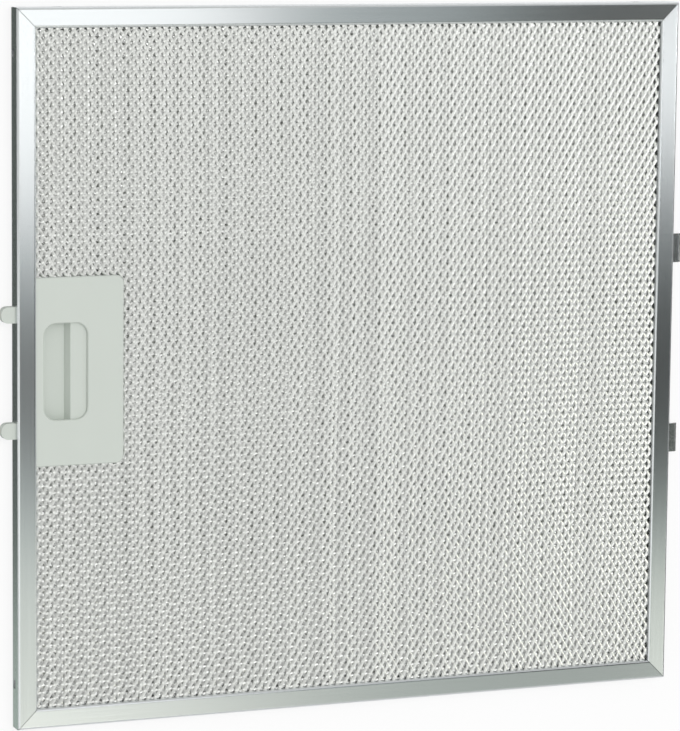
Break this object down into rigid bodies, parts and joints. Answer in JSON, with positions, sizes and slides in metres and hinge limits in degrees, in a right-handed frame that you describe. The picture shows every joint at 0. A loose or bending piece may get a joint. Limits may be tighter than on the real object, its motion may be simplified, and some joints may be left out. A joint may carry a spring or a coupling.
{
  "type": "cooker hood grease filter",
  "caption": "Flat square metal cassette of expanded mesh in a mitred channel frame, with a sprung finger latch on one side and fixed lugs on the other.",
  "frame": {"origin": "middle of the frame on its back face, on which it lies", "axes": "+X from the latch side to the lug side, +Y up the front face, +Z out of the front face"},
  "size_m": [0.3322, 0.32, 0.009],
  "materials": {
    "rail_aluminium": "brushed along each rail",
    "key_aluminium": "mill",
    "mesh_aluminium": "bright expanded foil",
    "cover_plastic": "fine satin",
    "base_plastic": "fine satin",
    "slider_plastic": "fine satin",
    "spring_steel": "spring steel",
    "lug_steel": "plain"
  },
  "bodies": {
    "filter": {"left_rail": "rail_aluminium", "right_rail": "rail_aluminium", "top_rail": "rail_aluminium", "bottom_rail": "rail_aluminium", "corner_key_top_left": "key_aluminium", "corner_key_top_right": "key_aluminium", "corner_key_bottom_left": "key_aluminium", "corner_key_bottom_right": "key_aluminium", "front_mesh": "mesh_aluminium", "back_mesh": "mesh_aluminium", "inner_front_mesh": "mesh_aluminium", "core_mesh": "mesh_aluminium", "inner_back_mesh": "mesh_aluminium", "handle_cover": "cover_plastic", "handle_base": "base_plastic", "latch_spring": "spring_steel", "upper_lug": "lug_steel", "lower_lug": "lug_steel"},
    "latch": {"latch_slider": "slider_plastic"}
  },
  "joints": [
    {"name": "latch_slide", "type": "slide", "parent": "filter", "child": "latch", "axis": [1, 0, 0], "range_m": [0, 0.0068], "stiffness_N_per_m": 600, "springref_m": -0.008, "deforming": ["latch_spring"]}
  ]
}
